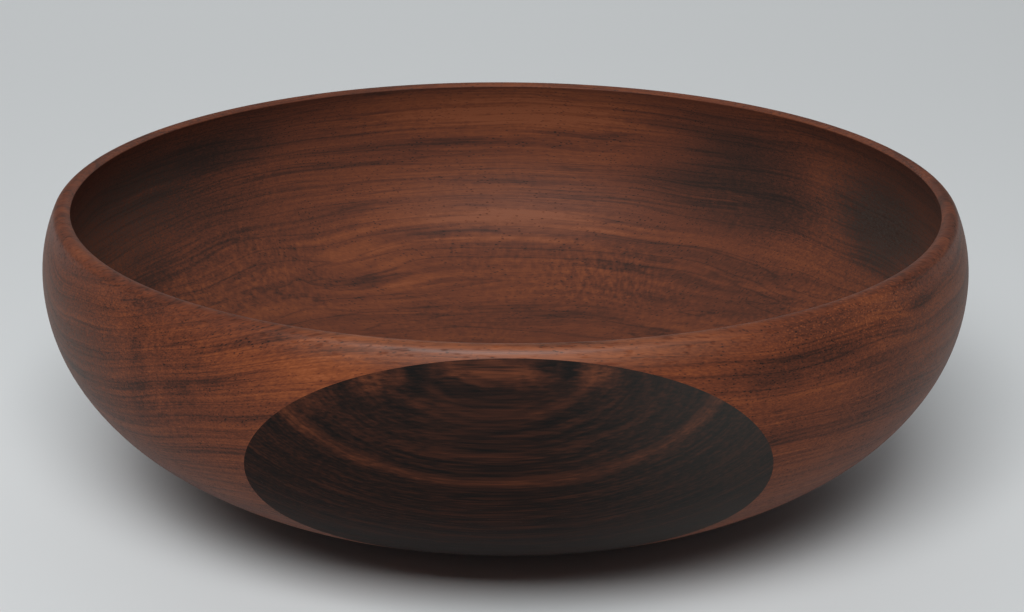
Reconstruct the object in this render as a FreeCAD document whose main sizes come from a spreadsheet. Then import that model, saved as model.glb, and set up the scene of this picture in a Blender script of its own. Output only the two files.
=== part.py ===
import FreeCAD, Part
import math
import os
import Sketcher

# A turned wooden bowl with a dark wood panel let into its side.
# Frame: millimetres, +Z up, the origin at the middle of the foot's standing plane, the middle of
# the dark panel towards -Y. The bowl is one turned wall. A flat glue plane cuts it near -Y: the part
# of the wall behind the plane is the bowl's body, and the part in front of it is the dark panel,
# which goes right through the wall and shows on both sides.

DOCUMENT_NAME = "turned_bowl"
SHEET = "Sizes"
PARTS_FOLDER = "parts"

# Lengths in mm, sweeps and tilts in degrees.
DRIVING_SIZES = {
    # heights above the standing plane and radii from the turning axis
    "mouth_radius": 137.5,
    "mouth_height": 94.0,
    "belly_radius": 147.1,
    "belly_height": 74.0,
    # the wall and its floor
    "wall": 4.5,
    "floor_height": 7.2,
    # radii of the outside's tangent arcs, from the rim down
    "nose_arc": 3.55,
    "shoulder_arc": 45.9,
    "side_arc": 54.8,
    "turn_arc": 66.4,
    "lower_arc": 90.8,
    "under_arc": 178.8,
    # how far each arc turns before the next one takes over
    "side_sweep": 30.0,
    "turn_sweep": 20.0,
    "lower_sweep": 18.0,
    # the foot ring
    "foot_radius": 50.0,
    "foot_edge": 0.8,
    "ring_width": 7.0,
    "recess_depth": 1.2,
    # the glue plane, measured from the middle of the mouth
    "glue_distance": 126.8,
    "glue_tilt": 28.6,
    "cut_span": 400.0,
}

# Where the solver starts from, in mm and degrees. The sketches work out the real values.
FLOOR_ARC_GUESS = 450.0
SHOULDER_SWEEP_GUESS = 24.0
NOSE_END_GUESS = 132.0
NOSE_OUT_GUESS = 2.4
NOSE_DOWN_GUESS = 2.6
INNER_SHOULDER_SWEEP_GUESS = 28.0
FOOT_TOP_GUESS = 2.5

# How many wall thicknesses each inside arc is smaller than its outside arc: one where the wall is
# even, and more on the lowest one, where the wall starts to get thicker towards the floor.
INSIDE_ARC_IN_WALLS = {"side_arc": 1.0, "turn_arc": 1.0, "lower_arc": 1.5}

VOLUME_TOLERANCE = 1e-6
MM3_PER_CM3 = 1000

# Sketcher's own names for the start, end and centre of an arc, and for its origin and axes.
START, END, CENTRE = 1, 2, 3
ORIGIN = -1
VERTICAL_AXIS = -2


def make_sheet(doc):
    """The spreadsheet that every sketch reads its sizes from."""
    sheet = doc.addObject("Spreadsheet::Sheet", SHEET)
    for row, (alias, value) in enumerate(DRIVING_SIZES.items(), start=1):
        sheet.set(f"A{row}", alias.replace("_", " "))
        sheet.set(f"B{row}", str(value))
        sheet.setAlias(f"B{row}", alias)
    doc.recompute()
    return sheet


def origin_plane(body, role):
    """The body's own origin plane with this role."""
    return next(f for f in body.Origin.OriginFeatures if f.Role == role)


def sketch_on(body, role, name):
    """A new sketch on one of the body's origin planes."""
    sketch = body.newObject("Sketcher::SketchObject", name)
    sketch.AttachmentSupport = [(origin_plane(body, role), "")]
    sketch.MapMode = "FlatFace"
    return sketch


def drive(sketch, name, constraint, expression):
    """Adds a named dimension that follows an expression of the sheet's cells."""
    index = sketch.addConstraint(constraint)
    sketch.renameConstraint(index, name)
    sketch.setExpression(f"Constraints.{name}", expression)


def cell(name):
    return f"{SHEET}.{name}"


def add_arc(sketch, centre, radius, first, last):
    """An arc of a circle, anticlockwise from one angle to the other, in degrees."""
    circle = Part.Circle(FreeCAD.Vector(*centre, 0), FreeCAD.Vector(0, 0, 1), radius)
    return sketch.addGeometry(Part.ArcOfCircle(circle, math.radians(first), math.radians(last)))


def add_line(sketch, first, last):
    return sketch.addGeometry(Part.LineSegment(FreeCAD.Vector(*first, 0), FreeCAD.Vector(*last, 0)))


def add_arc_chain(sketch, belly, radii, sweeps, last_x):
    """Tangent arcs from the belly point down and inwards. Each arc starts where the one before it
    ends, and the last one runs on to a given distance from the axis. Returns the arcs, top first."""
    x, y = belly
    centre = (x - radii[0], y)
    angle = 0.0
    arcs = []
    for k, radius in enumerate(radii):
        if k:
            shift = radii[k - 1] - radius
            down = math.radians(angle)
            centre = (centre[0] + shift * math.cos(down), centre[1] - shift * math.sin(down))
        if k < len(sweeps):
            sweep = sweeps[k]
        else:
            sweep = math.degrees(math.acos((last_x - centre[0]) / radius)) - angle
        arcs.append(add_arc(sketch, centre, radius, -(angle + sweep), -angle))
        angle += sweep
    for upper, lower in zip(arcs, arcs[1:]):
        sketch.addConstraint(Sketcher.Constraint("Tangent", lower, END, upper, START))
    return arcs


def pin_belly(sketch, arc, belly, name, radius_expression):
    """Sets the widest point of a chain: its radius, its height, and its upright tangent."""
    across = Sketcher.Constraint("DistanceX", ORIGIN, START, arc, END, belly[0])
    up = Sketcher.Constraint("DistanceY", ORIGIN, START, arc, END, belly[1])
    drive(sketch, f"{name}_radius", across, radius_expression)
    drive(sketch, f"{name}_height", up, cell("belly_height"))
    sketch.addConstraint(Sketcher.Constraint("Horizontal", arc, CENTRE, arc, END))


def draw_outside(sketch, size):
    """The outside of the wall, from the crisp inner edge of the rim to the foot."""
    belly = (size["belly_radius"], size["belly_height"])
    names = ["side_arc", "turn_arc", "lower_arc", "under_arc"]
    sweeps = ["side_sweep", "turn_sweep", "lower_sweep"]
    radii = [size[name] for name in names]
    turns = [size[name] for name in sweeps]
    arcs = add_arc_chain(sketch, belly, radii, turns, last_x=size["foot_radius"])
    pin_belly(sketch, arcs[0], belly, "outer_belly", cell("belly_radius"))
    for arc, name in zip(arcs, names):
        drive(sketch, name, Sketcher.Constraint("Radius", arc, size[name]), cell(name))
    for arc, name in zip(arcs, sweeps):
        drive(sketch, name, Sketcher.Constraint("Angle", arc, math.radians(size[name])), cell(name))

    shoulder_centre = (belly[0] - size["shoulder_arc"], belly[1])
    shoulder = add_arc(sketch, shoulder_centre, size["shoulder_arc"], 0, SHOULDER_SWEEP_GUESS)
    nose_centre = (size["mouth_radius"] + NOSE_OUT_GUESS, size["mouth_height"] - NOSE_DOWN_GUESS)
    nose = add_arc(sketch, nose_centre, size["nose_arc"], SHOULDER_SWEEP_GUESS, NOSE_END_GUESS)
    sketch.addConstraint(Sketcher.Constraint("Tangent", arcs[0], END, shoulder, START))
    sketch.addConstraint(Sketcher.Constraint("Tangent", shoulder, END, nose, START))
    for arc, name in ((shoulder, "shoulder_arc"), (nose, "nose_arc")):
        drive(sketch, name, Sketcher.Constraint("Radius", arc, size[name]), cell(name))
    mouth_x = Sketcher.Constraint("DistanceX", ORIGIN, START, nose, END, size["mouth_radius"])
    mouth_y = Sketcher.Constraint("DistanceY", ORIGIN, START, nose, END, size["mouth_height"])
    drive(sketch, "mouth_radius", mouth_x, cell("mouth_radius"))
    drive(sketch, "mouth_height", mouth_y, cell("mouth_height"))
    return nose, arcs[-1]


def draw_inside(sketch, size, nose):
    """The inside, a wall's thickness from the outside and thicker towards the floor."""
    wall = size["wall"]
    belly = (size["belly_radius"] - wall, size["belly_height"])
    radii = [size[name] - times * wall for name, times in INSIDE_ARC_IN_WALLS.items()]
    sweeps = ["side_sweep", "turn_sweep"]
    turns = [size[name] for name in sweeps] + [size["lower_sweep"]]
    arcs = add_arc_chain(sketch, belly, radii + [FLOOR_ARC_GUESS], turns, last_x=0)
    pin_belly(sketch, arcs[0], belly, "inner_belly", f"{cell('belly_radius')} - {cell('wall')}")
    for arc, radius, (name, times) in zip(arcs, radii, INSIDE_ARC_IN_WALLS.items()):
        expression = f"{cell(name)} - {times} * {cell('wall')}"
        drive(sketch, f"inner_{name}", Sketcher.Constraint("Radius", arc, radius), expression)
    for arc, name in zip(arcs, sweeps):
        constraint = Sketcher.Constraint("Angle", arc, math.radians(size[name]))
        drive(sketch, f"inner_{name}", constraint, cell(name))

    inner_shoulder_radius = size["shoulder_arc"] - wall
    centre = (belly[0] - inner_shoulder_radius, belly[1])
    shoulder = add_arc(sketch, centre, inner_shoulder_radius, 0, INNER_SHOULDER_SWEEP_GUESS)
    sketch.addConstraint(Sketcher.Constraint("Tangent", arcs[0], END, shoulder, START))
    sketch.addConstraint(Sketcher.Constraint("Coincident", shoulder, END, nose, END))

    floor = arcs[-1]
    sketch.addConstraint(Sketcher.Constraint("PointOnObject", floor, CENTRE, VERTICAL_AXIS))
    sketch.addConstraint(Sketcher.Constraint("PointOnObject", floor, START, VERTICAL_AXIS))
    floor_y = Sketcher.Constraint("DistanceY", ORIGIN, START, floor, START, size["floor_height"])
    drive(sketch, "floor_height", floor_y, cell("floor_height"))
    return floor


def draw_foot(sketch, size, under, floor):
    """A low foot ring around a shallow domed recess, and the turning axis that closes the outline."""
    radius = size["foot_radius"]
    edge_radius = size["foot_edge"]
    inner = radius - size["ring_width"]
    depth = size["recess_depth"]
    side = add_line(sketch, (radius, FOOT_TOP_GUESS), (radius, edge_radius))
    edge = add_arc(sketch, (radius - edge_radius, edge_radius), edge_radius, -90, 0)
    land = add_line(sketch, (radius - edge_radius, 0), (inner, 0))
    dome_radius = (inner**2 + depth**2) / (2 * depth)
    half_angle = math.degrees(math.asin(inner / dome_radius))
    dome = add_arc(sketch, (0, depth - dome_radius), dome_radius, 90 - half_angle, 90)
    axis = add_line(sketch, (0, depth), (0, size["floor_height"]))

    sketch.addConstraint(Sketcher.Constraint("Vertical", side))
    sketch.addConstraint(Sketcher.Constraint("Horizontal", land))
    sketch.addConstraint(Sketcher.Constraint("Vertical", axis))
    sketch.addConstraint(Sketcher.Constraint("Coincident", under, START, side, START))
    sketch.addConstraint(Sketcher.Constraint("Tangent", side, END, edge, END))
    sketch.addConstraint(Sketcher.Constraint("Tangent", edge, START, land, START))
    sketch.addConstraint(Sketcher.Constraint("Coincident", land, END, dome, START))
    sketch.addConstraint(Sketcher.Constraint("Coincident", dome, END, axis, START))
    sketch.addConstraint(Sketcher.Constraint("Coincident", axis, END, floor, START))
    sketch.addConstraint(Sketcher.Constraint("PointOnObject", dome, CENTRE, VERTICAL_AXIS))
    sketch.addConstraint(Sketcher.Constraint("PointOnObject", land, END, ORIGIN))

    drive(sketch, "foot_edge", Sketcher.Constraint("Radius", edge, edge_radius), cell("foot_edge"))
    foot_x = Sketcher.Constraint("DistanceX", ORIGIN, START, side, START, radius)
    drive(sketch, "foot_radius", foot_x, cell("foot_radius"))
    ring_x = Sketcher.Constraint("DistanceX", ORIGIN, START, land, END, inner)
    drive(sketch, "ring_inner", ring_x, f"{cell('foot_radius')} - {cell('ring_width')}")
    depth_y = Sketcher.Constraint("DistanceY", ORIGIN, START, dome, END, depth)
    drive(sketch, "recess_depth", depth_y, cell("recess_depth"))


def turn_wall(body, size):
    """The whole bowl as it comes off the lathe: one section turned about the axis."""
    sketch = sketch_on(body, "XZ_Plane", "wall_section")
    nose, under = draw_outside(sketch, size)
    floor = draw_inside(sketch, size, nose)
    draw_foot(sketch, size, under, floor)
    turning = body.newObject("PartDesign::Revolution", "turned_wall")
    turning.Profile = sketch
    turning.ReferenceAxis = (sketch, ["V_Axis"])
    turning.Angle = 360
    return turning


def cut_at_glue_plane(body, size, towards_panel):
    """Cuts away everything on one side of the glue plane, which is square to a line that leaves the
    middle of the mouth towards -Y and tilts down. towards_panel is +1 to cut away the panel's side
    of the plane and -1 to cut away the other side."""
    sketch = sketch_on(body, "YZ_Plane", "glue_cut")
    tilt = math.radians(size["glue_tilt"])
    along = (-math.cos(tilt), -math.sin(tilt))
    across = (-along[1], along[0])
    span = size["cut_span"]
    mouth = (0, size["mouth_height"])
    foot_point = tuple(m + size["glue_distance"] * a for m, a in zip(mouth, along))

    def corner(forward, sideways):
        return tuple(f + forward * a + sideways * c for f, a, c in zip(foot_point, along, across))

    middle = add_line(sketch, mouth, foot_point)
    sketch.toggleConstruction(middle)
    reach = span * towards_panel
    half = span / 2
    corners = [corner(0, half), corner(0, -half), corner(reach, -half), corner(reach, half)]
    near, right, far, left = (add_line(sketch, a, b) for a, b in zip(corners, corners[1:] + corners[:1]))
    for first, second in ((near, right), (right, far), (far, left), (left, near)):
        sketch.addConstraint(Sketcher.Constraint("Coincident", first, END, second, START))
    for first, second in ((near, right), (right, far), (far, left), (middle, near)):
        sketch.addConstraint(Sketcher.Constraint("Perpendicular", first, second))
    sketch.addConstraint(Sketcher.Constraint("Symmetric", near, START, near, END, middle, END))
    sketch.addConstraint(Sketcher.Constraint("PointOnObject", middle, START, VERTICAL_AXIS))
    mouth_y = Sketcher.Constraint("DistanceY", ORIGIN, START, middle, START, size["mouth_height"])
    drive(sketch, "mouth_height", mouth_y, cell("mouth_height"))
    distance = Sketcher.Constraint("Distance", middle, size["glue_distance"])
    drive(sketch, "glue_distance", distance, cell("glue_distance"))
    angle = Sketcher.Constraint("Angle", middle, math.pi + tilt)
    drive(sketch, "glue_tilt", angle, f"180 + {cell('glue_tilt')}")
    for line, name in ((near, "cut_width"), (right, "cut_reach")):
        drive(sketch, name, Sketcher.Constraint("Distance", line, span), cell("cut_span"))

    cut = body.newObject("PartDesign::Pocket", "glue_cut_pocket")
    cut.Profile = sketch
    cut.Type = "ThroughAll"
    cut.Midplane = True
    return cut


def make_piece(doc, size, label, towards_panel):
    """One of the two pieces: the turned wall on one side of the glue plane."""
    body = doc.addObject("PartDesign::Body", label)
    body.Label = label
    turning = turn_wall(body, size)
    doc.recompute()
    whole = turning.Shape.Volume
    cut_at_glue_plane(body, size, towards_panel)
    doc.recompute()
    left = body.Shape.Volume
    if not 0 < left < whole:
        raise RuntimeError(f"{label}: the cut at the glue plane removed nothing")
    return body, whole, left


def check_document(doc, bodies):
    """Stops if a feature failed, a sketch is loose, or a piece is not one sound solid."""
    for item in doc.Objects:
        if "Invalid" in item.State or "Error" in item.State:
            raise RuntimeError(f"{item.Label} failed: {item.State}")
        if item.isDerivedFrom("Sketcher::SketchObject") and item.solve() != 0:
            raise RuntimeError(f"{item.Label} does not solve")
    for body in bodies:
        shape = body.Shape
        if shape.isNull() or not shape.isValid() or len(shape.Solids) != 1:
            raise RuntimeError(f"{body.Label} is not one valid solid")


def main():
    os.makedirs(PARTS_FOLDER, exist_ok=True)
    doc = FreeCAD.newDocument(DOCUMENT_NAME)
    sheet = make_sheet(doc)
    size = {name: float(sheet.get(name)) for name in DRIVING_SIZES}
    body, whole, body_volume = make_piece(doc, size, "bowl_body", towards_panel=1)
    panel, _, panel_volume = make_piece(doc, size, "dark_wood_panel", towards_panel=-1)
    if abs(body_volume + panel_volume - whole) > VOLUME_TOLERANCE * whole:
        raise RuntimeError("the two pieces do not make up the whole turned wall")
    pieces = [body, panel]
    check_document(doc, pieces)
    for piece in pieces:
        piece.Shape.exportStep(os.path.join(PARTS_FOLDER, f"{piece.Label}.step"))
        box = piece.Shape.optimalBoundingBox()
        print(f"{piece.Label}: {box.XLength:.1f} x {box.YLength:.1f} x {box.ZLength:.1f} mm,",
              f"{piece.Shape.Volume / MM3_PER_CM3:.1f} cm3")


main()
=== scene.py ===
import math
from collections import namedtuple

import bmesh
import bpy
from mathutils import Matrix, Vector


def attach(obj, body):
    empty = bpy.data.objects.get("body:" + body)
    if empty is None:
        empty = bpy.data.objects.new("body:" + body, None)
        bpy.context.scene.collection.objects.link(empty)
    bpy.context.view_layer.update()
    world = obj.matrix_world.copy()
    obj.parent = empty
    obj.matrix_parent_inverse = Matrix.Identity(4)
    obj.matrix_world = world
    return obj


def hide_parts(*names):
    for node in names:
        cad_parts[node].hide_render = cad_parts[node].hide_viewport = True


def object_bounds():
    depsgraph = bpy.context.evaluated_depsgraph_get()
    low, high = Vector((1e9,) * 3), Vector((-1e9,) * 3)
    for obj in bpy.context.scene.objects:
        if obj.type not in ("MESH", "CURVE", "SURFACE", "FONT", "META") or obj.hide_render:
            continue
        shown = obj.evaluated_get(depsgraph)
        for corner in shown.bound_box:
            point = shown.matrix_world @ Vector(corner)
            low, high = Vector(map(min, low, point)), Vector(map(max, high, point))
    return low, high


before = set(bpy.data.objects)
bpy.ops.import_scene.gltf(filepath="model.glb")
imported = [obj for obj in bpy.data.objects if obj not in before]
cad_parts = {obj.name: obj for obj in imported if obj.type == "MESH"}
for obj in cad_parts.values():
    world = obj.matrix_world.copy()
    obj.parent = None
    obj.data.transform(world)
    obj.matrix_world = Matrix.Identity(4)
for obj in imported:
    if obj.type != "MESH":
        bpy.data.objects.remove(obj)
cad_low, cad_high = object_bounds()

MM = 0.001

# ---------------------------------------------------------------- the turned shape, in millimetres
BELLY_RADIUS = min(-cad_low.x, cad_high.x) / MM
BELLY_HEIGHT = 74.0
MOUTH_RADIUS = 137.5
MOUTH_HEIGHT = 94.0
WALL = 4.5
FOOT_RADIUS = 50.0
FOOT_EDGE = 0.8
RING_WIDTH = 7.0
RECESS_DEPTH = 1.2
INNER_EDGE = 0.35
# radius of each arc from the belly down and its turn in degrees
OUTSIDE_ARCS = ((54.8, -30.0), (66.4, -20.0), (90.8, -18.0))
INSIDE_ARCS = ((50.3, -30.0), (61.9, -20.0), (84.05, -30.72))
UNDER_RADIUS = 178.8
SHOULDER_RADIUS = 45.9
NOSE_RADIUS = 3.55
# the glue plane: how far it lies from the middle of the mouth, and how far it leans back
GLUE_DISTANCE = 126.8
GLUE_TILT = math.radians(28.6)

# the mesh: faces around, length of a face down the walls, and faces along the other arcs of the section
AROUND = 360
WALL_STEP = 2.2
LEAST_STEPS = 2
RECESS_STEPS, FOOT_EDGE_STEPS, UNDER_STEPS, FLOOR_STEPS = 12, 5, 24, 30
SHOULDER_STEPS, NOSE_STEPS, INNER_EDGE_STEPS = 10, 22, 8
# how near a point is to be on the glue plane, the most corners a face keeps, and what marks a cut face
ON_PLANE = 1e-7
MOST_CORNERS = 4
CAP = -1


class Arc:
    """One circular piece of the section. side is 1 where the wood is inside the circle and -1 where it is
    outside."""

    def __init__(self, centre, radius, start, end, side, steps):
        self.centre = Vector(centre)
        self.radius = radius
        self.start = start
        self.end = end
        self.side = side
        self.steps = steps

    def point(self, angle):
        return self.centre + self.radius * Vector((math.cos(angle), math.sin(angle)))

    def points(self):
        """The arc's points after its first, which ends the piece before it."""
        turn = self.end - self.start
        return [self.point(self.start + turn * k / self.steps) for k in range(1, self.steps + 1)]

    def normal(self, point):
        return (point - self.centre).normalized() * self.side


class Line:
    """One straight piece of the section."""

    def __init__(self, end, facing):
        self.end = Vector(end)
        self.facing = Vector(facing)

    def points(self):
        return [self.end]

    def normal(self, point):
        return self.facing


def arc_from(point, angle, radius, turn, side, steps):
    """The arc that carries on from a point whose direction from the arc's centre is angle."""
    centre = Vector(point) - radius * Vector((math.cos(angle), math.sin(angle)))
    return Arc(centre, radius, angle, angle + turn, side, steps)


def chain(point, angle, arcs, side):
    """Tangent arcs one after another. arcs holds (radius, turn in degrees)."""
    made = []
    for radius, turn in arcs:
        turn = math.radians(turn)
        steps = max(LEAST_STEPS, round(abs(turn) * radius / WALL_STEP))
        made.append(arc_from(point, angle, radius, turn, side, steps))
        angle += turn
        point = made[-1].point(angle)
    return made


def meeting(first, first_radius, second, second_radius, side):
    """The point that is first_radius from one centre and second_radius from the other, on the left (1) or
    right (-1) of the way from the first to the second."""
    gap = second - first
    along = (first_radius ** 2 - second_radius ** 2 + gap.length_squared) / (2 * gap.length)
    aside = math.sqrt(first_radius ** 2 - along ** 2)
    ahead = gap.normalized()
    return first + ahead * along + Vector((-ahead.y, ahead.x)) * aside * side


def bearing(centre, point):
    return math.atan2(point.y - centre.y, point.x - centre.x)


def foot():
    """The pieces of the section under the bowl: the domed recess, the ring that stands on the floor, and its
    rounded outer edge."""
    land = FOOT_RADIUS - RING_WIDTH
    dome = (land ** 2 + RECESS_DEPTH ** 2) / (2 * RECESS_DEPTH)
    dome_centre = Vector((0, RECESS_DEPTH - dome))
    recess_end = bearing(dome_centre, Vector((land, 0)))
    recess = Arc(dome_centre, dome, math.pi / 2, recess_end, -1, RECESS_STEPS)
    ring_end = FOOT_RADIUS - FOOT_EDGE
    ring = Line((ring_end, 0), (0, -1))
    edge = Arc((ring_end, FOOT_EDGE), FOOT_EDGE, -math.pi / 2, 0, 1, FOOT_EDGE_STEPS)
    return [recess, ring, edge]


def outer_wall(belly):
    """The outside from the foot up to the belly."""
    lower = chain(belly, 0, OUTSIDE_ARCS, 1)
    angle = lower[-1].end
    under_centre = lower[-1].point(angle) - UNDER_RADIUS * Vector((math.cos(angle), math.sin(angle)))
    foot_angle = -math.acos((FOOT_RADIUS - under_centre.x) / UNDER_RADIUS)
    under = Arc(under_centre, UNDER_RADIUS, foot_angle, angle, 1, UNDER_STEPS)
    foot_side = Line(under.point(foot_angle), (1, 0))
    for arc in lower:
        arc.start, arc.end = arc.end, arc.start
    return [foot_side, under, *reversed(lower)]


def rim(belly, inner_belly):
    """The shoulder over the belly, the rounded nose of the rim, its small inner edge, and the inside back down
    to the belly."""
    mouth = Vector((MOUTH_RADIUS, MOUTH_HEIGHT))
    shoulder_centre = belly - Vector((SHOULDER_RADIUS, 0))
    nose_centre = meeting(shoulder_centre, SHOULDER_RADIUS - NOSE_RADIUS, mouth, NOSE_RADIUS, -1)
    rise = bearing(shoulder_centre, nose_centre)
    shoulder = Arc(shoulder_centre, SHOULDER_RADIUS, 0, rise, 1, SHOULDER_STEPS)

    across, up = inner_belly.x - mouth.x, mouth.y - inner_belly.y
    inner_radius = (across ** 2 + up ** 2) / (2 * across)
    inner_centre = inner_belly - Vector((inner_radius, 0))
    edge_centre = meeting(inner_centre, inner_radius + INNER_EDGE, nose_centre, NOSE_RADIUS - INNER_EDGE, 1)
    nose_end = bearing(nose_centre, edge_centre)
    inner_start = bearing(inner_centre, edge_centre)
    nose = Arc(nose_centre, NOSE_RADIUS, rise, nose_end, 1, NOSE_STEPS)
    edge = Arc(edge_centre, INNER_EDGE, nose_end, math.pi + inner_start, 1, INNER_EDGE_STEPS)
    inner_shoulder = Arc(inner_centre, inner_radius, inner_start, 0, -1, SHOULDER_STEPS)
    return [shoulder, nose, edge, inner_shoulder]


def inner_wall(inner_belly):
    """The inside from the belly down, and the floor to the axis."""
    wall = chain(inner_belly, 0, INSIDE_ARCS, -1)
    angle = wall[-1].end
    floor_rim = wall[-1].point(angle)
    floor_radius = floor_rim.x / math.cos(angle)
    floor_centre = Vector((0, floor_rim.y - floor_radius * math.sin(angle)))
    return [*wall, Arc(floor_centre, floor_radius, angle, -math.pi / 2, -1, FLOOR_STEPS)]


def section():
    """The pieces of the section in order, from the axis under the foot round to the axis over the floor."""
    belly = Vector((BELLY_RADIUS, BELLY_HEIGHT))
    inner_belly = belly - Vector((WALL, 0))
    return [*foot(), *outer_wall(belly), *rim(belly, inner_belly), *inner_wall(inner_belly)]


parts = section()


def turned_mesh(pieces):
    """The whole turned shape as one closed bmesh, each face marked with the section piece it belongs to."""
    bm = bmesh.new()
    owner = bm.faces.layers.int.new("owner")
    bottom = bm.verts.new((0, 0, pieces[0].point(pieces[0].start).y * MM))
    previous = None
    turns = [2 * math.pi * k / AROUND for k in range(AROUND)]
    count = len(pieces)
    for number, piece in enumerate(pieces):
        points = piece.points()
        for index, point in enumerate(points):
            last = number == count - 1 and index == len(points) - 1
            if last:
                top = bm.verts.new((0, 0, point.y * MM))
                made = [top] * AROUND
            else:
                made = [bm.verts.new((point.x * math.cos(a) * MM, point.x * math.sin(a) * MM, point.y * MM))
                        for a in turns]
            for k in range(AROUND):
                after = (k + 1) % AROUND
                if previous is None:
                    corners = (bottom, made[after], made[k])
                elif last:
                    corners = (previous[k], previous[after], top)
                else:
                    corners = (previous[k], previous[after], made[after], made[k])
                face = bm.faces.new(corners)
                face[owner] = number
                face.smooth = True
            previous = made
    return bm


def cut_piece(whole, pieces, towards_panel, name):
    """One of the two glued pieces: the turned shape on one side of the glue plane, closed along the cut."""
    bm = whole.copy()
    owner = bm.faces.layers.int["owner"]
    facing = Vector((0, -math.cos(GLUE_TILT), -math.sin(GLUE_TILT)))
    place = Vector((0, 0, MOUTH_HEIGHT * MM)) + facing * GLUE_DISTANCE * MM
    everything = bm.verts[:] + bm.edges[:] + bm.faces[:]
    cut = bmesh.ops.bisect_plane(bm, geom=everything, dist=ON_PLANE, plane_co=place, plane_no=facing,
                                 clear_inner=towards_panel, clear_outer=not towards_panel)
    seam = [e for e in cut["geom_cut"] if isinstance(e, bmesh.types.BMEdge)]
    cap_normal = -facing if towards_panel else facing
    filled = bmesh.ops.triangle_fill(bm, use_beauty=True, use_dissolve=False, edges=seam, normal=cap_normal)
    caps = [f for f in filled["geom"] if isinstance(f, bmesh.types.BMFace)]
    for face in caps:
        face[owner] = CAP
        face.smooth = True
    bmesh.ops.triangulate(bm, faces=[f for f in bm.faces if len(f.verts) > MOST_CORNERS])
    bm.normal_update()
    mesh = bpy.data.meshes.new(name)
    bm.to_mesh(mesh)
    set_normals(mesh, pieces, cap_normal)
    mesh.attributes.remove(mesh.attributes["owner"])
    bm.free()
    return mesh


def set_normals(mesh, pieces, cap_normal):
    """Each corner's exact normal: the section piece's own on turned faces, the glue plane's on the cut."""
    owners = [item.value for item in mesh.attributes["owner"].data]
    normals = []
    for polygon, owner in zip(mesh.polygons, owners):
        for corner in polygon.loop_indices:
            if owner == CAP:
                normals.append(cap_normal)
                continue
            place = mesh.vertices[mesh.loops[corner].vertex_index].co / MM
            radius = math.hypot(place.x, place.y)
            facing = pieces[owner].normal(Vector((radius, place.z)))
            if radius > 0:
                normals.append(Vector((facing.x * place.x / radius, facing.x * place.y / radius, facing.y)))
            else:
                normals.append(Vector((0, 0, facing.y)))
    mesh.normals_split_custom_set(normals)


def add_piece(mesh, node, material):
    piece = bpy.data.objects.new(mesh.name, mesh)
    bpy.context.scene.collection.objects.link(piece)
    mesh.materials.append(material)
    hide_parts(node)
    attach(piece, "root")


def plain_material(name, colour, roughness):
    material = bpy.data.materials.new(name)
    material.use_nodes = True
    shader = material.node_tree.nodes["Principled BSDF"]
    shader.inputs["Base Color"].default_value = (*colour, 1)
    shader.inputs["Roughness"].default_value = roughness
    return material


# ---------------------------------------------------------------- wood, as formulas in millimetres
# what brings a noise texture's values to between about -1 and 1
NOISE_MIDDLE, NOISE_SPREAD = 0.5, 3.4
# a cloud's distance from its middle, in half sizes, where it has faded out and where it is full
CLOUD_OUT, CLOUD_FULL = 1.15, 0.35
# where the hollow starts and where it is full: how far a wall faces outward, how far a floor faces up, and
# how high the floor lies
WALL_FACING = (0.15, -0.35)
FLOOR_FACING = (0.1, 0.5)
FLOOR_HEIGHT = (70.0, 45.0)
# the tint of the pale sheen of sanded fibres, and the roughness of the rim's polish
SANDED_TINT = (1.0, 0.78, 0.66, 1.0)
RIM_POLISH_ROUGHNESS = 0.42
# refractive index of the finish and weight of the pale sheen, for the body and the panel
BODY_INDEX, BODY_HAZE = 1.14, 0.045
PANEL_INDEX, PANEL_HAZE = 1.08, 0.005

# a noise: the size of its cells in millimetres, its detail, its seed, and the share with which it is added
Noise = namedtuple("Noise", "cell detail seed share", defaults=(1.0,))


class Field:
    """A number or a point that changes through the wood: an output of the node tree, with arithmetic."""

    def __init__(self, recipe, socket):
        self.recipe = recipe
        self.socket = socket

    def __add__(self, other):
        return self.recipe.maths("ADD", self, other)

    def __sub__(self, other):
        return self.recipe.maths("SUBTRACT", self, other)

    def __mul__(self, other):
        return self.recipe.maths("MULTIPLY", self, other)

    def __truediv__(self, other):
        return self.recipe.maths("DIVIDE", self, other)

    __radd__ = __add__

    def __rsub__(self, other):
        return self.recipe.maths("SUBTRACT", other, self)

    def above(self, floor):
        return self.recipe.maths("MAXIMUM", self, floor)

    def size(self):
        return self.recipe.maths("ABSOLUTE", self, 0.0)


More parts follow.
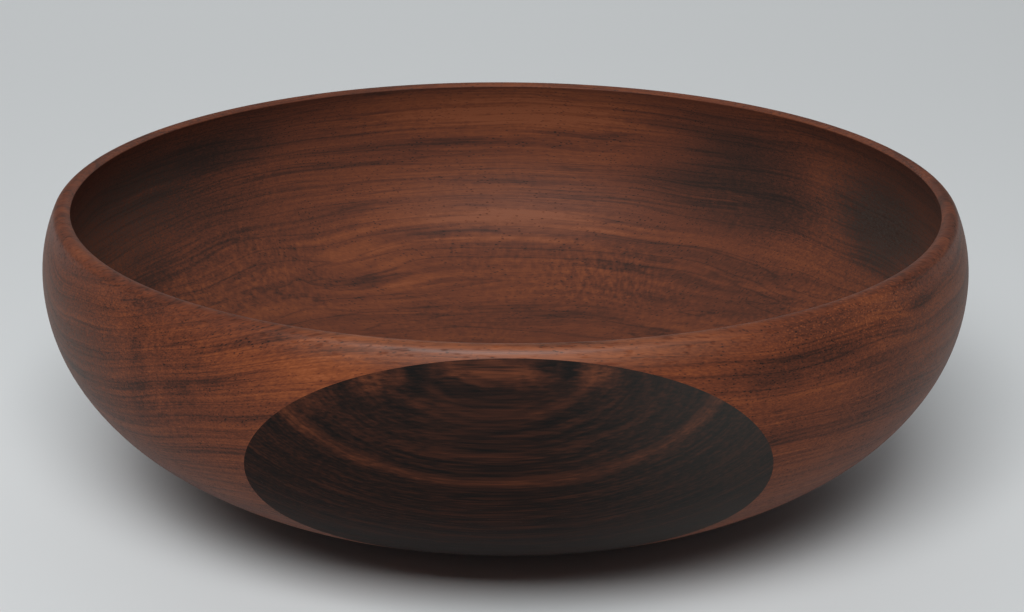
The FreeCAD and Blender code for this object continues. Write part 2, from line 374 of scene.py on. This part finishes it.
class Recipe:
    """A material whose node tree is written as formulas."""

    def __init__(self, name):
        self.material = bpy.data.materials.new(name)
        self.material.use_nodes = True
        self.tree = self.material.node_tree
        self.shader = self.tree.nodes["Principled BSDF"]

    def node(self, kind, output, **inputs):
        """Adds a node with its inputs fed by name, an underscore for each space, and gives the named output."""
        made = self.tree.nodes.new(kind)
        for name, value in inputs.items():
            self.feed(made.inputs[name.replace("_", " ")], value)
        return Field(self, made.outputs[output])

    def feed(self, socket, value):
        if isinstance(value, Field):
            self.tree.links.new(value.socket, socket)
        else:
            socket.default_value = value

    def maths(self, operation, first, second):
        made = self.tree.nodes.new("ShaderNodeMath")
        made.operation = operation
        self.feed(made.inputs[0], first)
        self.feed(made.inputs[1], second)
        return Field(self, made.outputs[0])

    def surface(self, name):
        """The x, y and z of the point of the wood (Object) or of the way its surface faces (Normal)."""
        made = self.tree.nodes.new("ShaderNodeSeparateXYZ")
        self.feed(made.inputs[0], Field(self, self.tree.nodes.new("ShaderNodeTexCoord").outputs[name]))
        return [Field(self, made.outputs[axis]) for axis in "XYZ"]

    def place(self):
        """The x, y and z of each point of the wood in millimetres."""
        return [axis / MM for axis in self.surface("Object")]

    def point(self, x, y, z):
        return self.node("ShaderNodeCombineXYZ", "Vector", X=x, Y=y, Z=z)

    def cells(self, place, cell):
        return [field / length for field, length in zip(place, cell)]

    def noise(self, place, kind):
        """Smooth noise about 0, mostly between -1 and 1, with cells of the given size in millimetres."""
        x, y, z = self.cells(place, kind.cell)
        spread = self.point(x + kind.seed, y, z)
        value = self.node("ShaderNodeTexNoise", "Fac", Vector=spread, Scale=1.0, Detail=kind.detail)
        return (value - NOISE_MIDDLE) * NOISE_SPREAD

    def specks(self, place, cell):
        """The distance to the nearest of scattered points, about one point per cell, in cells."""
        spread = self.point(*self.cells(place, cell))
        return self.node("ShaderNodeTexVoronoi", "Distance", Vector=spread, Scale=1.0)

    def fade(self, value, nothing, full):
        """0 where value is at nothing, 1 where it is at full, with a smooth step between them."""
        step = self.node("ShaderNodeMapRange", "Result", Value=value, From_Min=nothing, From_Max=full)
        step.socket.node.interpolation_type = "SMOOTHSTEP"
        return step

    def band(self, value, middle, half_width):
        """1 at the middle, falling to 0 half_width away."""
        return self.fade((value - middle).size(), half_width, 0.0)

    def cloud(self, place, centre, size, ragged):
        """A soft ellipsoid: 1 about its centre, 0 outside it. ragged moves its edge."""
        offsets = [(field - middle) / length for field, middle, length in zip(place, centre, size)]
        made = self.tree.nodes.new("ShaderNodeVectorMath")
        made.operation = "LENGTH"
        self.feed(made.inputs[0], self.point(*offsets))
        distance = Field(self, made.outputs["Value"])
        return self.fade(distance + ragged, CLOUD_OUT, CLOUD_FULL)

    def colours(self, value, stops):
        """A colour for each value. stops holds (value, colour) in order."""
        colour = self.node("ShaderNodeValToRGB", "Color", Fac=value)
        ramp = colour.socket.node.color_ramp
        while len(ramp.elements) < len(stops):
            ramp.elements.new(0.5)
        for element, (place, tone) in zip(ramp.elements, stops):
            element.position = place
            element.color = (*tone, 1)
        return colour

    def hollow(self, x, y, z):
        """1 on the surfaces of the bowl's hollow, 0 outside, from the way the surface faces."""
        across, along, up = self.surface("Normal")
        outward = (across * x + along * y) / BELLY_RADIUS
        wall = self.fade(outward, *WALL_FACING)
        floor = self.fade(up, *FLOOR_FACING) * self.fade(z, *FLOOR_HEIGHT)
        return self.maths("MAXIMUM", wall, floor)

    def mix(self, amount, first, second):
        made = self.tree.nodes.new("ShaderNodeMix")
        made.data_type = "RGBA"
        self.feed(made.inputs["Factor"], amount)
        self.feed(made.inputs["A"], first)
        self.feed(made.inputs["B"], second)
        return Field(self, made.outputs["Result"])

    def finish(self, colour, roughness, relief, index, haze):
        """Feeds the shader. relief is the height of the surface in millimetres, index the finish's
        refractive index and haze the pale sheen of the sanded fibres seen edge on."""
        self.feed(self.shader.inputs["IOR"], index)
        self.feed(self.shader.inputs["Sheen Weight"], haze)
        self.feed(self.shader.inputs["Sheen Tint"], SANDED_TINT)
        self.feed(self.shader.inputs["Coat Roughness"], RIM_POLISH_ROUGHNESS)
        self.feed(self.shader.inputs["Base Color"], colour)
        self.feed(self.shader.inputs["Roughness"], roughness)
        normal = self.node("ShaderNodeBump", "Normal", Height=relief, Strength=1.0, Distance=MM)
        self.feed(self.shader.inputs["Normal"], normal)
        return self.material


INSIDE, OUTSIDE = 1, -1


def spot(way, azimuth, depth):
    """A point of the surface: depth millimetres along the section from the rim's inner edge. INSIDE follows it
    down the inside with azimuth 0 towards +Y, and OUTSIDE follows it over the nose and down the outside with
    azimuth 0 towards -Y. Azimuth 90 is towards +X both times."""
    arcs = [piece for piece in parts if isinstance(piece, Arc)]
    edge = next(number for number, arc in enumerate(arcs) if arc.radius == INNER_EDGE)
    if way == INSIDE:
        run = [(arc, arc.start, arc.end) for arc in arcs[edge + 1:]]
    else:
        run = [(arc, arc.end, arc.start) for arc in reversed(arcs[:edge])]
    for arc, start, end in run:
        length = arc.radius * abs(end - start)
        if depth <= length:
            break
        depth -= length
    place = arc.point(start + (end - start) * depth / length)
    turn = math.radians(azimuth)
    return place.x * math.sin(turn), place.x * math.cos(turn) * way, place.y


# the timbers' colours from the lightest growth to the darkest
BRIGHT = (0.235, 0.070, 0.028)
GLOW = (0.200, 0.056, 0.021)
REDDISH = (0.122, 0.034, 0.0165)
BROWN = (0.062, 0.0205, 0.0125)
DARK = (0.026, 0.0125, 0.0095)
NEAR_BLACK = (0.011, 0.0078, 0.0072)
BODY_COLOURS = ((0.0, BRIGHT), (0.1, GLOW), (0.37, REDDISH), (0.595, BROWN), (0.80, DARK), (1.0, NEAR_BLACK))
PANEL_BLACK = (0.009, 0.0078, 0.0075)
PANEL_DARK = (0.018, 0.0105, 0.0088)
PANEL_BROWN = (0.046, 0.0175, 0.0115)
PANEL_RED = (0.095, 0.031, 0.016)
PANEL_COLOURS = ((0.0, PANEL_BLACK), (0.2, PANEL_DARK), (0.5, PANEL_BROWN), (0.8, PANEL_RED), (1.0, REDDISH))
# pale tints over them: a pale grey tone over the inside with a painted sheen in its middle, a painted sheen on
# the two sides, a painted highlight on the front of the rim and a painted sheen on the panel's right side
INSIDE_PALE_AND_SHEEN = (0.155, 0.106, 0.092, 1.0)
PAINTED_SIDE_SHEEN = (0.170, 0.140, 0.118, 1.0)
PAINTED_RIM_HIGHLIGHT = (0.420, 0.210, 0.125, 1.0)
PAINTED_PANEL_SHEEN = (0.100, 0.105, 0.098, 1.0)

# the noises of the body's wood. A share is darkness, but DRIFT's is the millimetres by which it moves the
# layers, and CURLY_ZONE's is the share of the curl that its zones get
DRIFT = Noise((95.0, 55.0, 40.0), 1.0, 0, 3.0)
BROAD = Noise((170.0, 40.0, 9.0), 2.0, 3.1, 0.10)
STREAK = Noise((120.0, 22.0, 3.4), 3.0, 7.7, 0.17)
LINE = Noise((70.0, 22.0, 0.95), 3.0, 1.3, 0.17)
FIBRE = Noise((6.0, 0.5, 0.36), 2.0, 0, 0.11)
MOTTLE = Noise((4.0, 3.0, 1.5), 2.0, 5.5, 0.06)
INK = Noise((130.0, 30.0, 3.0), 2.0, 12.0, 0.18)
GRIT = Noise((4.0, 1.2, 0.6), 1.0, 15.0, 0.03)
CURL = Noise((1.7, 2.6, 1.8), 2.0, 2.2, 0.17)
CURLY_ZONE = Noise((45.0, 30.0, 25.0), 1.0, 9.4, 0.7)
DASHES = Noise((5.0, 1.4, 0.8), 1.0, 18.0, 0.20)
PORE_GROUPS = Noise((12.0, 8.0, 8.0), 1.0, 4.0)
DARK_LAYER_CELL = (40.0, 30.0, 25.0)
PORE_CELL = (2.6, 0.85, 0.85)
FLECK_CELL = (2.2, 0.9, 0.7)

# darkness where nothing is added, what pores and light flecks add, and how much more fibre adds in front and
# grit on the sides
PLAIN_DARKNESS = 0.28
PORE_DARKNESS, FLECK_DARKNESS = 0.48, -0.42
FRONT_FIBRE, SIDE_GRIT = 0.08, 0.16
# how far streaks, lines and mottle move a cloud's edge, in half sizes
RAGGED_BY = (0.36, 0.20, 0.10)
# how far mottle moves the edge of a soft cloud and the edge of the painted sheen inside, in half sizes
SOFT_EDGE, PAINTED_SHEEN_EDGE = 0.2, 0.1
# the ink lines: the noise value they follow and their half width
INK_VALUE, INK_WIDTH = 0.12, 0.12
# the layers in front sink to the sides by SINK times x squared, more on the left and less on the right by
# LEFT_SINK; low down all layers tilt along y
SINK, LEFT_SINK, LOW_TILT = 0.0011, 0.0006, 0.12
# how far drift and streaks push the curl aside
CURL_DRIFT, CURL_STREAK = 10.2, 1.8
# the curly zone's noise falls by 1 over this height, and the curly places are added with this share
CURLY_HEIGHT, CURLY_PLACE_SHARE = 90.0, 0.9
# how far mottle moves a dark layer, in millimetres, and how much of the layer is there on average
LAYER_WOBBLE, LAYER_PRESENCE = 0.5, 0.6
# where darkness 0 lies in the colours, and the part of the colours that darkness 0 to 1 covers
COLOURS_START, COLOURS_SPAN = 0.1, 0.9

# where things fade in, in millimetres: nothing at the first value, all of it at the second. Along y:
FRONT = (10.0, -70.0)
# along x: the left, and the painted sheen on the panel's right side
LEFT = (50.0, 0.0)
PANEL_SHEEN_SPAN = (0.0, 80.0)
# to both sides of x 0: the sides, the painted sheen on the sides, and the painted highlight on the front of the
# rim
SIDES = (70.0, 115.0)
SIDE_SHEEN_SPAN = (100.0, 142.0)
RIM_HIGHLIGHT_SPAN = (75.0, 35.0)
# along z
LOW_DOWN = (48.0, 16.0)
RIM = (86.0, 93.0)
# the same for noises and for the distance to a speck
CURLY = (-0.75, -0.15)
PORE = (0.27, 0.12)
IN_PORE_GROUP = (-0.9, 0.7)
FLECK = (0.34, 0.14)
DASH = (0.15, 0.75)
PANEL_PORE = (0.20, 0.10)
# middle height and half height of the painted sheen on the sides
SIDE_SHEEN_HEIGHT = (68.0, 32.0)

# polish of the rim: its share everywhere and what the front adds, what a dash takes away, and its coat
POLISH, FRONT_POLISH, DASH_POLISH, COAT = 0.3, 0.7, 0.7, 0.38
# strengths of the tints: the pale tone inside and the painted sheen in its middle, the painted sheen on the
# sides and its grit, the painted rim highlight, the panel's painted sheen
INSIDE_PALE, INSIDE_PAINTED_SHEEN, SIDE_SHEEN_SHARE, SIDE_SHEEN_GRIT, RIM_HIGHLIGHT_SHARE, PANEL_SHEEN_SHARE = 0.13, 0.07, 0.15, 0.15, 0.10, 0.20
# way, azimuth and depth of the middle of the painted sheen inside and of the light flecks, with half sizes
# along x, y and z
PAINTED_SHEEN_SPOT, PAINTED_SHEEN_SIZE = (INSIDE, 2, 44), (60, 40, 18)
FLECK_SPOT, FLECK_SIZE = (OUTSIDE, 44, 8), (44, 44, 10)

# the noises of the panel's wood. A share is glow, but PANEL_WAVE's is millimetres, and PANEL_STRIPE's and
# PANEL_FRAY's move a cloud's edge, in half sizes
PANEL_WAVE = Noise((22.0, 18.0, 12.0), 2.0, 6.0, 0.35)
PANEL_FIBRE = Noise((16.0, 0.7, 0.55), 2.0, 0, 0.20)
PANEL_THREAD = Noise((30.0, 6.0, 0.55), 3.0, 8.0, 0.20)
PANEL_BROAD = Noise((60.0, 25.0, 4.0), 2.0, 1.0, 0.06)
PANEL_STRIPE = Noise((26.0, 0.8, 0.7), 2.0, 4.0, 0.50)
PANEL_FRAY = Noise((5.0, 2.0, 3.0), 2.0, 2.0, 0.30)
PANEL_RING_CELL = (30.0, 30.0, 20.0)
PANEL_PORE_CELL = (2.6, 1.1, 1.1)
PLAIN_GLOW = 0.19
# how far fibres move a reddish layer, how much its strength varies, and a cloud's plain and striped shares
RING_WOBBLE, RING_VARIATION = 0.15, 0.5
PLAIN_CLOUD, STRIPED_CLOUD = 0.75, 0.70

# roughness of the finish and what grain and pores add, and heights of fibres, curl and pores in millimetres
BODY_ROUGHNESS, PANEL_ROUGHNESS = 0.47, 0.48
ROUGH_GRAIN, ROUGH_PORE, PANEL_ROUGH_GRAIN = 0.02, 0.2, 0.03
FIBRE_HEIGHT, CURL_HEIGHT, PORE_DEPTH = 0.010, 0.012, 0.05

# which way, azimuth, depth, half sizes along x, y and z, and how much darker (or, below 0, brighter)
BODY_CLOUDS = (
    (INSIDE, -60, 18, (34, 60, 15), 0.36),
    (INSIDE, -44, 14, (22, 40, 12), 0.26),
    (INSIDE, -66, 48, (12, 30, 12), 0.20),
    (INSIDE, -50, 42, (30, 30, 12), 0.10),
    # painted light: the next two clouds brighten the inside just under the far rim, where the overhanging rim
    # casts shade
    (INSIDE, 0, 5, (90, 30, 9), -0.20),
    (INSIDE, -4, 15, (60, 40, 6), -0.20),
    (INSIDE, 8, 11, (42, 30, 7), -0.16),
    (INSIDE, -14, 23, (50, 30, 2.0), 0.20),
    (INSIDE, 0, 30, (60, 40, 6), -0.10),
    (INSIDE, -8, 47, (56, 24, 9), -0.20),
    (INSIDE, -26, 58, (18, 20, 7), -0.14),
    (INSIDE, 6, 55, (42, 24, 7), -0.24),
    (INSIDE, -18, 73, (16, 12, 6), -0.20),
    (INSIDE, 6, 16, (56, 30, 7), -0.14),
    (INSIDE, 46, 34, (40, 60, 22), 0.12),
    (INSIDE, 34, 18, (24, 30, 8), 0.14),
    (INSIDE, 72, 22, (20, 40, 24), 0.10),
    (INSIDE, 66, 36, (16, 20, 12), 0.12),
    (INSIDE, -50, 34, (34, 40, 10), 0.10),
    (INSIDE, -42, 65, (26, 26, 8), 0.14),
    (INSIDE, 35, 35, (42, 45, 15), 0.30),
    (INSIDE, 40, 19, (24, 30, 8), 0.20),
    (INSIDE, 47, 36, (16, 25, 8), 0.16),
    (INSIDE, 34, 10, (40, 40, 6), 0.20),
    (INSIDE, 66, 28, (16, 45, 18), 0.38),
    (INSIDE, 52, 22, (6, 14, 7), -0.12),
    (INSIDE, 52, 48, (22, 22, 6), -0.12),
    (INSIDE, -4, 74, (70, 24, 10), -0.10),
    (OUTSIDE, -62, 28, (24, 55, 30), 0.10),
    (OUTSIDE, -46, 28, (3, 14, 26), 0.12),
    (OUTSIDE, -27, 16, (24, 30, 8), -0.16),
    (OUTSIDE, -20, 14, (18, 20, 8), -0.16),
    # painted highlight: this cloud brightens the crown of the front rim
    (OUTSIDE, 0, 6, (60, 30, 3), -0.20),
    (OUTSIDE, -39, 29, (7, 12, 5), 0.14),
    (OUTSIDE, 16, 6, (28, 24, 4), -0.06),
    (OUTSIDE, 37, 7, (18, 18, 6), 0.18),
    (OUTSIDE, 56, 6, (16, 16, 8), 0.14),
    (OUTSIDE, -46, 6, (14, 14, 6), 0.16),
    (OUTSIDE, -19, 5, (20, 20, 6), -0.17),
    (OUTSIDE, -18, 13, (12, 16, 4), -0.08),
    (OUTSIDE, -52, 78, (36, 36, 12), 0.16),
    (OUTSIDE, 31, 36, (14, 14, 10), 0.07),
    (OUTSIDE, 34, 17, (38, 30, 5), 0.30),
    (OUTSIDE, 30, 22, (12, 12, 3.5), 0.14),
    (OUTSIDE, 48, 27, (16, 16, 4), 0.16),
    (OUTSIDE, 56, 13, (8, 10, 2.5), 0.22),
    (OUTSIDE, 50, 44, (26, 34, 16), 0.10),
)
# azimuth and depth inside, and half sizes, of the places where the grain is curly
CURLY_PLACES = ((-50, 60, (40, 40, 16)), (20, 74, (34, 24, 10)))
# height of a dark layer, its half width and strength
DARK_LAYERS = ((98.0, 1.2, 0.16), (88.0, 2.4, 0.26), (84.5, 0.9, 0.14), (76.0, 1.6, 0.16), (66.0, 2.0, 0.12),
               (104.0, 1.0, 0.14))
# the panel's reddish growth layers: how far out the first, the wide and the last one lie, and their gap
FIRST_RING, WIDE_RING, LAST_RING, RING_GAP = 123, 153, 165, 6
# half width and strength of the wide one and of the others
WIDE_RING_SHAPE, RING_SHAPE = (2.2, 0.34), (1.3, 0.13)
# how the panel's layers lean and turn, how much they curve, and the point about which they curve
LEAN, TURN = math.radians(22), math.radians(-2)
BEND = 0.0025
BEND_OUT, BEND_UP = 140.0, 80.0
PANEL_CLOUDS = (
    (OUTSIDE, -1.5, 11, (18, 20, 5.0), 0.60),
    (OUTSIDE, 9.5, 12, (7, 20, 4.6), 0.50),
    (OUTSIDE, -10, 14, (4, 20, 6), -0.22),
    (OUTSIDE, 6.5, 13, (3, 20, 5), -0.20),
    (OUTSIDE, -15, 14, (9, 20, 5.5), 0.46),
    (OUTSIDE, -23, 22, (12, 20, 7), 0.34),
    # painted shade: this cloud darkens the bottom of the panel, under the bowl's belly
    (OUTSIDE, 0, 88, (70, 40, 14), -0.10),
)


def curly_zone(wood, place, mottle):
    """1 where the grain is curly: low down, in loose zones, and at the curly places inside."""
    height = place[2]
    value = wood.noise(place, CURLY_ZONE) - height / CURLY_HEIGHT
    zone = wood.fade(value, *CURLY) * CURLY_ZONE.share
    for azimuth, depth, size in CURLY_PLACES:
        zone += wood.cloud(place, spot(INSIDE, azimuth, depth), size, mottle * SOFT_EDGE) * CURLY_PLACE_SHARE
    return zone


def pale_tints(wood, colour, place, width, mottle, grit, polish):
    """The body's colour under a pale grey tone inside with a painted sheen in its middle, a painted sheen on
    the two sides and a painted highlight on the front of the rim."""
    x, y, z = place
    # a pale grey tone over the whole inside, with a painted sheen added in its middle
    pale_and_sheen = wood.cloud(place, spot(*PAINTED_SHEEN_SPOT), PAINTED_SHEEN_SIZE, mottle * PAINTED_SHEEN_EDGE) * INSIDE_PAINTED_SHEEN + INSIDE_PALE
    colour = wood.mix(wood.hollow(x, y, z) * pale_and_sheen, colour, INSIDE_PALE_AND_SHEEN)
    # painted sheen on the upper parts of the two sides, speckled by grit
    side_sheen = wood.fade(width, *SIDE_SHEEN_SPAN) * wood.band(z, *SIDE_SHEEN_HEIGHT)
    colour = wood.mix((side_sheen * (SIDE_SHEEN_SHARE + grit * SIDE_SHEEN_GRIT)).above(0.0), colour, PAINTED_SIDE_SHEEN)
    # painted highlight: a pale warm tone along the polished front of the rim
    return wood.mix(polish * wood.fade(width, *RIM_HIGHLIGHT_SPAN) * RIM_HIGHLIGHT_SHARE, colour, PAINTED_RIM_HIGHLIGHT)


def body_wood():
    """Reddish brown wood with its grain along X: growth layers that sink to the sides in front, long streaks,
    dark clouds, curl and pores."""
    wood = Recipe("body_wood")
    x, y, z = place = wood.place()
    width = x.size()
    front = wood.fade(y, *FRONT)
    left = front * wood.fade(x, *LEFT)
    side = wood.fade(width, *SIDES)

    drift = wood.noise(place, DRIFT)
    reach = y * wood.fade(z, *LOW_DOWN)
    sink = front * (x * SINK - width * LEFT_SINK) * x
    layer = z + drift * DRIFT.share + sink + reach * LOW_TILT
    layers = (x, reach, layer)
    grain = (x, y, layer)
    broad = wood.noise(layers, BROAD)
    streak = wood.noise(layers, STREAK)
    line = wood.noise(layers, LINE)
    ink = wood.band(wood.noise(layers, INK), INK_VALUE, INK_WIDTH)
    fibre = wood.noise(grain, FIBRE)
    mottle = wood.noise(grain, MOTTLE)
    grit = wood.noise(place, GRIT)
    darkness = PLAIN_DARKNESS + broad * BROAD.share + streak * STREAK.share + line * LINE.share
    darkness += mottle * MOTTLE.share + ink * INK.share
    darkness += fibre * (front * FRONT_FIBRE + FIBRE.share)
    darkness += grit * (side * SIDE_GRIT + GRIT.share)

    by_streak, by_line, by_mottle = RAGGED_BY
    ragged = streak * by_streak + line * by_line + mottle * by_mottle
    for way, azimuth, depth, size, strength in BODY_CLOUDS:
        darkness += wood.cloud(place, spot(way, azimuth, depth), size, ragged) * strength
    for height, half_width, strength in DARK_LAYERS:
        presence = wood.noise(grain, Noise(DARK_LAYER_CELL, 1.0, height))
        band = wood.band(layer + mottle * LAYER_WOBBLE, height, half_width)
        darkness += band * (presence + LAYER_PRESENCE).above(0.0) * strength * left

    curl = wood.noise((x + drift * CURL_DRIFT, y, layer + streak * CURL_STREAK), CURL)
    zone = curly_zone(wood, place, mottle)
    darkness += curl * zone * CURL.share

    pores = wood.fade(wood.specks(grain, PORE_CELL), *PORE)
    pores *= wood.fade(wood.noise(place, PORE_GROUPS), *IN_PORE_GROUP)
    darkness += pores * PORE_DARKNESS
    flecks = wood.fade(wood.specks(place, FLECK_CELL), *FLECK)
    flecks *= wood.cloud(place, spot(*FLECK_SPOT), FLECK_SIZE, mottle * SOFT_EDGE)
    darkness += flecks * FLECK_DARKNESS
    dashes = wood.fade(wood.noise(place, DASHES), *DASH)
    polish = wood.fade(z, *RIM) * (front * FRONT_POLISH + POLISH) * (1.0 - dashes * DASH_POLISH)
    darkness += dashes * polish * DASHES.share

    colour = wood.colours(darkness * COLOURS_SPAN + COLOURS_START, BODY_COLOURS)
    colour = pale_tints(wood, colour, place, width, mottle, grit, polish)
    roughness = BODY_ROUGHNESS + mottle * ROUGH_GRAIN + fibre * ROUGH_GRAIN + pores * ROUGH_PORE
    relief = fibre * FIBRE_HEIGHT + curl * zone * CURL_HEIGHT - pores * PORE_DEPTH
    wood.feed(wood.shader.inputs["Coat Weight"], polish * COAT)
    return wood.finish(colour, roughness, relief, BODY_INDEX, BODY_HAZE)


def panel_wood():
    """Near-black wood with fine reddish lines. Its layers lie nearly parallel to the glue plane and curve
    gently, so the turned surface shows them as nested arcs."""
    wood = Recipe("panel_wood")
    x, y, z = place = wood.place()
    sine, cosine = math.sin(LEAN), math.cos(LEAN)
    outward = x * (math.sin(TURN) * cosine) - y * (math.cos(TURN) * cosine) + z * sine
    along = y * sine + z * cosine - (BEND_UP * cosine - BEND_OUT * sine)
    slab = (x, along, outward)
    layer = outward - along * along * BEND + wood.noise(slab, PANEL_WAVE) * PANEL_WAVE.share
    layers = (x, along, layer)
    fibre = wood.noise(slab, PANEL_FIBRE)
    thread = wood.noise(layers, PANEL_THREAD)
    broad = wood.noise(layers, PANEL_BROAD)

    glow = PLAIN_GLOW + broad * PANEL_BROAD.share + thread * PANEL_THREAD.share + fibre * PANEL_FIBRE.share
    for distance in range(FIRST_RING, LAST_RING + 1, RING_GAP):
        half_width, strength = WIDE_RING_SHAPE if distance == WIDE_RING else RING_SHAPE
        presence = wood.noise(layers, Noise(PANEL_RING_CELL, 1.0, distance))
        band = wood.band(layer + fibre * RING_WOBBLE, distance, half_width)
        glow += band * (1.0 + presence * RING_VARIATION) * strength
    stripe = wood.noise(slab, PANEL_STRIPE)
    ragged = stripe * PANEL_STRIPE.share + wood.noise(slab, PANEL_FRAY) * PANEL_FRAY.share
    for way, azimuth, depth, size, strength in PANEL_CLOUDS:
        cover = wood.cloud(place, spot(way, azimuth, depth), size, ragged)
        glow += cover * (PLAIN_CLOUD + stripe * STRIPED_CLOUD) * strength

    pores = wood.fade(wood.specks(slab, PANEL_PORE_CELL), *PANEL_PORE)
    colour = wood.colours(glow, PANEL_COLOURS)
    # painted sheen: a pale grey tone over the panel's right side
    colour = wood.mix(wood.fade(x, *PANEL_SHEEN_SPAN) * PANEL_SHEEN_SHARE, colour, PAINTED_PANEL_SHEEN)
    roughness = PANEL_ROUGHNESS + fibre * PANEL_ROUGH_GRAIN
    relief = fibre * FIBRE_HEIGHT - pores * PORE_DEPTH
    return wood.finish(colour, roughness, relief, PANEL_INDEX, PANEL_HAZE)


# ---------------------------------------------------------------- the pieces
whole = turned_mesh(parts)
add_piece(cut_piece(whole, parts, False, "bowl_body_wood"), "bowl_body",
          body_wood())
add_piece(cut_piece(whole, parts, True, "dark_panel_wood"), "dark_wood_panel",
          panel_wood())
whole.free()


# ---------------------------------------------------------------- floor, light and camera
FLOOR_HALF_SIZE = 4.0
WHITE = (1.0, 1.0, 1.0)
# the camera: its distance from the middle of the mouth in mouth radii, how high and how far to the left it
# stands, how far right and down it looks, and its roll
CAMERA_DISTANCE = 6.049
CAMERA_RISE, CAMERA_SIDE = math.radians(16.97), math.radians(0.55)
HEADING, PITCH, ROLL = math.radians(0.70), math.radians(19.41), math.radians(0.31)
SENSOR_WIDTH, FOCAL_LENGTH = 36.0, 91.406


def add_floor():
    size = FLOOR_HALF_SIZE
    corners = [(-size, -size, 0), (size, -size, 0), (size, size, 0), (-size, size, 0)]
    mesh = bpy.data.meshes.new("studio_floor")
    mesh.from_pydata(corners, [], [(0, 1, 2, 3)])
    floor = bpy.data.objects.new("studio_floor", mesh)
    bpy.context.scene.collection.objects.link(floor)
    mesh.materials.append(plain_material("floor_paper", colour=(0.68, 0.705, 0.715), roughness=0.9))


def add_softbox(name, azimuth, height, distance, size, power):
    """A softbox that faces the bowl from a direction: azimuth 0 is in front, towards -Y, and 90 is towards
    +X."""
    turn, rise = math.radians(azimuth), math.radians(height)
    way = Vector((math.sin(turn) * math.cos(rise), -math.cos(turn) * math.cos(rise), math.sin(rise)))
    place = way * distance
    aim = Vector((0, 0, BELLY_HEIGHT * MM))
    light = bpy.data.lights.new(name, "AREA")
    light.shape = "RECTANGLE"
    light.size, light.size_y = size
    light.energy = power
    light.color = WHITE
    lamp = bpy.data.objects.new(name, light)
    bpy.context.scene.collection.objects.link(lamp)
    lamp.location = place
    lamp.rotation_mode = "QUATERNION"
    lamp.rotation_quaternion = (aim - place).to_track_quat("-Z", "Y")
    return lamp


def add_world(colour, strength):
    world = bpy.data.worlds.new("studio")
    world.use_nodes = True
    background = world.node_tree.nodes["Background"]
    background.inputs["Color"].default_value = (*colour, 1)
    background.inputs["Strength"].default_value = strength
    bpy.context.scene.world = world


def add_camera():
    across, above = math.cos(CAMERA_RISE), math.sin(CAMERA_RISE)
    back = Vector((-across * math.sin(CAMERA_SIDE), -across * math.cos(CAMERA_SIDE), above))
    place = (Vector((0, 0, MOUTH_HEIGHT)) + CAMERA_DISTANCE * MOUTH_RADIUS * back) * MM
    level_part = math.cos(PITCH)
    ahead = Vector((level_part * math.sin(HEADING), level_part * math.cos(HEADING), -math.sin(PITCH)))
    level = ahead.cross(Vector((0, 0, 1))).normalized()
    over = level.cross(ahead)
    right = level * math.cos(ROLL) + over * math.sin(ROLL)
    up = over * math.cos(ROLL) - level * math.sin(ROLL)
    data = bpy.data.cameras.new("camera")
    data.sensor_fit = "HORIZONTAL"
    data.sensor_width = SENSOR_WIDTH
    data.lens = FOCAL_LENGTH
    camera = bpy.data.objects.new("camera", data)
    bpy.context.scene.collection.objects.link(camera)
    camera.matrix_world = Matrix((
        (right.x, up.x, -ahead.x, place.x),
        (right.y, up.y, -ahead.y, place.y),
        (right.z, up.z, -ahead.z, place.z),
        (0, 0, 0, 1)))
    bpy.context.scene.camera = camera


add_floor()
add_world(colour=(0.93, 0.96, 1.0), strength=0.095)
add_softbox("key_softbox", azimuth=-8, height=48, distance=2.1, size=(1.3, 0.95), power=44.0)
back_light = add_softbox("back_softbox", azimuth=186, height=28, distance=2.0, size=(2.4, 1.0), power=15.0)
back_light.visible_glossy = False
add_camera()
bpy.context.scene.view_settings.view_transform = "Standard"
